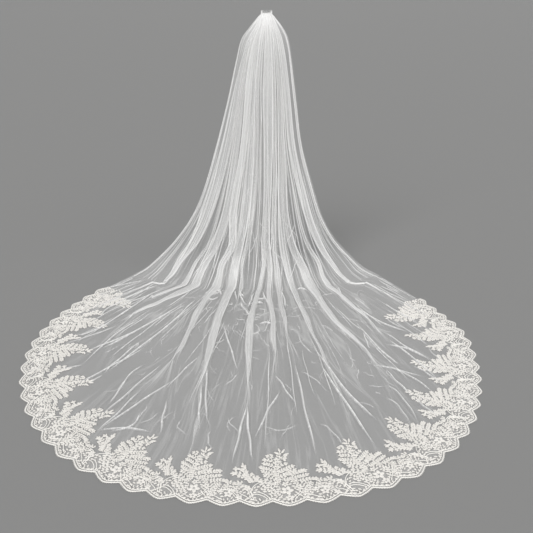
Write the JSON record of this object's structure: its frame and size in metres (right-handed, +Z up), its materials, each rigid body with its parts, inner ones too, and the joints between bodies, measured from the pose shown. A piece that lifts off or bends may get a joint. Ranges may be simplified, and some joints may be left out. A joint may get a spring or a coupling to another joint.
{
  "type": "bridal veil",
  "caption": "Long cathedral wedding veil: sheer tulle gathered to a small hair comb, falling in folds to a spread train edged with a scalloped floral lace border",
  "frame": {"origin": "middle of the comb's spine, where the veil is held in the hair; the floor is at z = -1.310", "axes": "+Z up, -Y forwards along the train and towards the viewer of the picture, +Y towards the wearer's face and the comb's teeth, +X to the right in the picture"},
  "size_m": [1.9157, 1.9057, 1.3252],
  "materials": {
    "white_tulle": "sheer net",
    "ivory_lace": "matt corded lace",
    "clear_comb_plastic": "clear and glossy"
  },
  "bodies": {
    "root": {"tulle_panel": "white_tulle", "lace_border": "ivory_lace", "comb": "clear_comb_plastic"}
  },
  "joints": []
}
